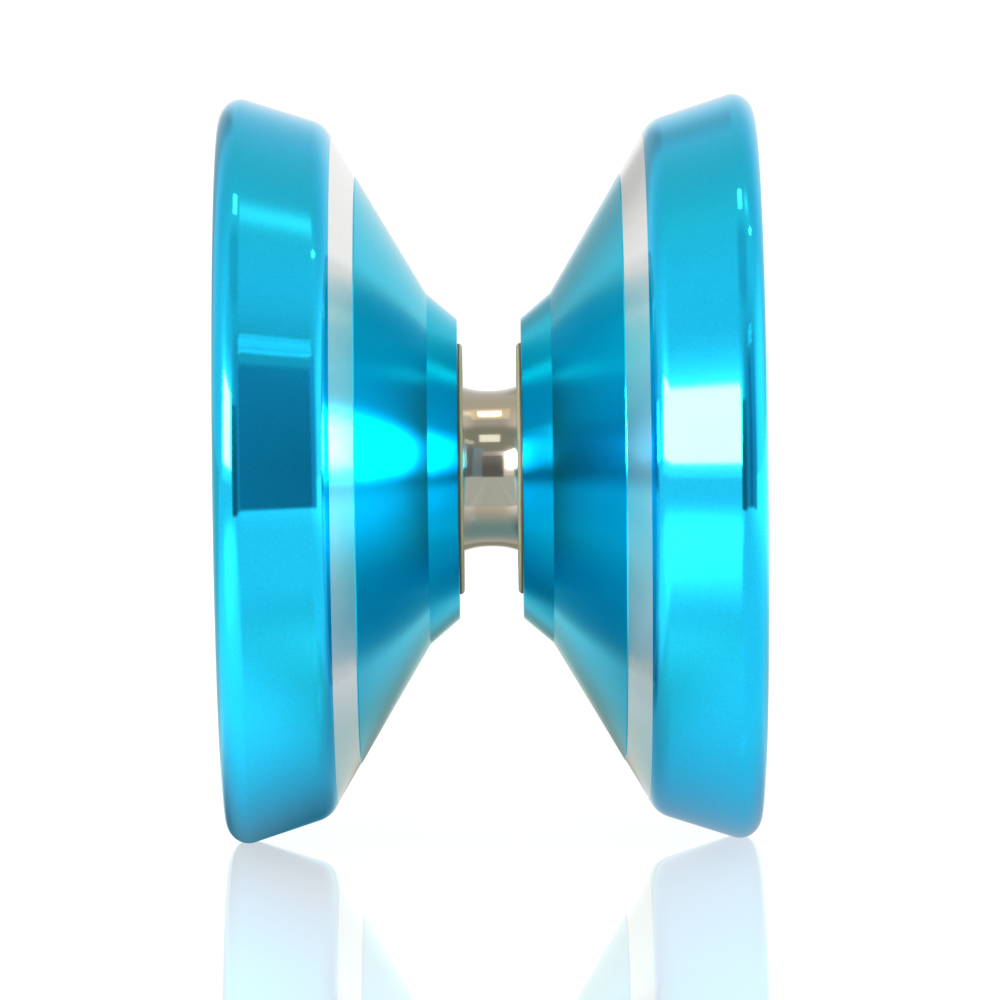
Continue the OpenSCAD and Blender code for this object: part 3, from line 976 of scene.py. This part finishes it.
def cloud(name, start, ray, size, radiance, color, distance=0.6):
    """A soft-edged glow met by a ray from the part (mm); it hides nothing behind it."""
    width, height = size
    corners = [(-width * 2, -height * 2, 0), (width * 2, -height * 2, 0),
               (width * 2, height * 2, 0), (-width * 2, height * 2, 0)]
    ob = flat_piece(name, corners)
    target, ob.location = on_ray(start, ray, distance)
    face_point(ob, target)
    tree = Shader(bpy.data.materials.new(name))
    x, y, _ = tree.split(tree.coords())
    fade = tree.decay(tree.squares(tree.math("DIVIDE", x, width),
                                   tree.math("DIVIDE", y, height)), -2.0)
    glow = tree.emission(strength=tree.mul(fade, radiance), color=color)
    reflect_only(ob, tree, tree.out("AddShader", (tree.out("BsdfTransparent"), glow)))


def build_lamps():
    # overhead, for the floor and the matt parts
    area_light("key", direction(0, 88), target=(0, 0, 0), size=(1.4, 1.4), radiance=0.55,
               matt_only=True)
    # big upright softbox at the left front
    softbox_up = Vector((0, 0, 0.096))
    area_light("softbox", direction(SOFTBOX_BEARING, 0.0) * 0.335 + softbox_up,
               target=softbox_up, size=(0.225, 0.140), radiance=59.0)
    # a diffused lamp and a small warm one, both high at the right
    cloud("cloud_right", (-17, -20.5, 19.4), (0.432, 0.115, 0.893), size=(0.06, 0.085),
          radiance=0.95, color=(1.0, 1.0, 0.80))
    ray_light("glint_right", (-6, -9.9, 12.3), (0.61, 0.03, 0.79), size=(0.02, 0.02),
              radiance=45.0, color=(1.0, 0.80, 0.40))
    # narrow tilted strips high at the right front: height in degrees, radiance
    strips = ((36.6, 3.2), (38.2, 2.6), (39.6, 2.9), (41.0, 2.2))
    for i, (height, radiance) in enumerate(strips):
        strip = ray_light(f"strip_{i}", (-17, -26, 11), direction(43, height),
                          size=(0.16, 0.0026), radiance=radiance, distance=0.5)
        tilt = Quaternion((0, 0, 1), -0.185)
        strip.rotation_quaternion = strip.rotation_quaternion @ tilt

    # warm lamps overhead, with a faint halo of larger ones, and a pale one in front of them
    race_top = (0, -4.1, 4.2)
    ray_light("lamp_top", race_top, direction(-1.5, 92.7), size=(0.13, 0.085),
              radiance=5.0, color=(1.0, 0.84, 0.48))
    bearing_lamps = [ray_light("lamp_warm", race_top, direction(-3.0, 92.9),
                               size=(0.20, 0.10), radiance=9.0, color=(1.0, 0.84, 0.46))]
    for i in range(5):
        bearing_lamps.append(ray_light(
            f"lamp_halo_{i}", race_top, direction(-3.0, 92.9),
            size=(0.24 + 0.05 * i, 0.12 + 0.025 * i), radiance=0.42, color=(1.0, 0.66, 0.24)))
    bearing_lamps.append(ray_light(
        "lamp_front", (0, -5.4, 2.3), direction(0.5, 49.7), size=(0.24, 0.12),
        radiance=1.45, color=(0.96, 1.0, 0.95)))
    # all of these but lamp_top light only the bearing
    reach = bpy.data.collections.new("lamps_reach")
    for ob in bpy.data.objects:
        if ob.name.startswith("bearing_"):
            reach.objects.link(ob)
    for ob in bearing_lamps:
        ob.light_linking.receiver_collection = reach


build_lamps()


# ---------------------------------------------------------------- cards
def card(name, corners, color, lift=1.0, only=None, soft=None, streaks=0.0):
    """A flat card that only the metal's reflections see, lift times as bright at its top.

    A ray that comes off the floor passes through it. only is (half width, radius about the
    axle): rays from outside them pass too. soft is (|x| full, |x| gone, z gone, z full,
    z full, z gone), with z upwards. streaks makes it uneven from side to side.
    """
    ob = flat_piece(name, corners)
    tree = Shader(bpy.data.materials.new(name))
    x, _, z = tree.split(tree.coords())
    strength = tree.remap(z, 0.02, max(corner[2] for corner in corners), 1.0, lift)
    if streaks:
        uneven = tree.noise(tree.vec(x, 0.0, 0.0), scale=150.0, detail=2.0, rough=0.6)
        strength = tree.mul(strength, tree.plus(1.0, tree.swing(uneven, streaks)))
    # where the ray started: back along it from the point it met
    geometry = tree.node("NewGeometry").outputs
    length = tree.ray("Ray Length")
    start = tree.out("VectorMath", (geometry["Incoming"], tree.vec(length, length, length),
                                    geometry["Position"]), operation="MULTIPLY_ADD")
    start_x, start_y, start_z = tree.split(start)
    passes = tree.math("LESS_THAN", start_z, FLOOR_Z + 0.0003)
    if only:
        half_width, radius = only
        outside = tree.math("GREATER_THAN", tree.squares(start_y, start_z), radius * radius)
        beside = tree.math("GREATER_THAN", tree.math("ABSOLUTE", start_x), half_width)
        passes = tree.math("MAXIMUM", passes, tree.math("MAXIMUM", beside, outside))
    if soft:
        x_full, x_gone, low_gone, low_full, high_full, high_gone = soft
        there = tree.mul(
            tree.smooth(tree.math("ABSOLUTE", x), x_gone, x_full),
            tree.mul(tree.smooth(z, low_gone, low_full), tree.smooth(z, high_gone, high_full)))
        passes = tree.math("MAXIMUM", passes, tree.minus(1.0, there))
    glow = tree.emission(strength=strength, color=color)
    reflect_only(ob, tree, tree.mix_shader(passes, glow, tree.out("BsdfTransparent")))


def sheet(half_width, near, far):
    """Corners of a rectangle across x between two (y, z) edges."""
    return [(-half_width, *near), (half_width, *near), (half_width, *far), (-half_width, *far)]


def build_cards():
    # dark uprights round the front:
    # name, bearings of the two edges in degrees, top, distance, colour, lift
    uprights = (
        ("dark_room_a", -16, 9, 0.078, 0.19, (0.20, 0.21, 0.215), 1.8),
        ("dark_room_c", 9, 24, 0.138, 0.21, (0.30, 0.42, 0.52), 1.35),
        ("dark_room_b", 24, 36, 0.145, 0.219, (0.195, 0.25, 0.305), 1.45),
        ("dark_room_d", 36, 56, 0.145, 0.219, (0.34, 0.47, 0.58), 1.35),
    )
    bottom = FLOOR_Z + 0.0002
    for name, left, right, top, distance, color, lift in uprights:
        corners = []
        for bearing, z in ((left, bottom), (right, bottom), (right, top), (left, top)):
            angle = math.radians(bearing)
            corners.append((math.sin(angle) * distance, -math.cos(angle) * distance, z))
        card(name, corners, color, lift)

    # the dim front of the ceiling and of the floor, as the bearing's race sees them
    race_only = (0.0025, 0.0066)
    card("dim_ceiling", sheet(1.0, near=(-0.662, 0.352), far=(-0.181, 0.728)),
         color=(0.42, 0.46, 0.41), only=race_only, soft=(0.6, 1.0, 0.3521, 0.38, 0.62, 0.727))
    level = FLOOR_Z + 0.002
    card("dim_floor", sheet(0.12, near=(-0.25, level), far=(-0.022, level)),
         color=(0.80, 0.90, 0.91), only=race_only, streaks=0.7)


build_cards()

# ---------------------------------------------------------------- camera and render
CAM_DISTANCE = 0.646
CAM_ROLL = math.radians(0.64)
# turns, in radians, that put the yo-yo a little left of the frame's middle and above it
CAM_TURN_RIGHT, CAM_TURN_DOWN = 0.00109411721, 0.00370586539


def build_camera():
    data = bpy.data.cameras.new("camera")
    data.sensor_width = 36.0
    data.lens = 306.0
    data.clip_start, data.clip_end = 0.01, 100.0
    camera = add_object("camera", data)
    scene.camera = camera
    back = Vector((0.0, -math.cos(CAM_ELEV), math.sin(CAM_ELEV)))
    camera.location = back * CAM_DISTANCE
    camera.rotation_mode = "QUATERNION"
    aim = (-back).to_track_quat("-Z", "Y").to_matrix().to_4x4()
    yaw = Matrix.Rotation(-CAM_TURN_RIGHT, 4, "Y")
    pitch = Matrix.Rotation(-CAM_TURN_DOWN, 4, "X")
    roll = Matrix.Rotation(-CAM_ROLL, 4, "Z")
    camera.rotation_quaternion = (aim @ yaw @ pitch @ roll).to_quaternion()


build_camera()

# light thrown from the polished metal on to matt things would only be noise
scene.cycles.caustics_reflective = False
scene.cycles.caustics_refractive = False
scene.view_settings.view_transform = "Standard"
scene.view_settings.look = "None"
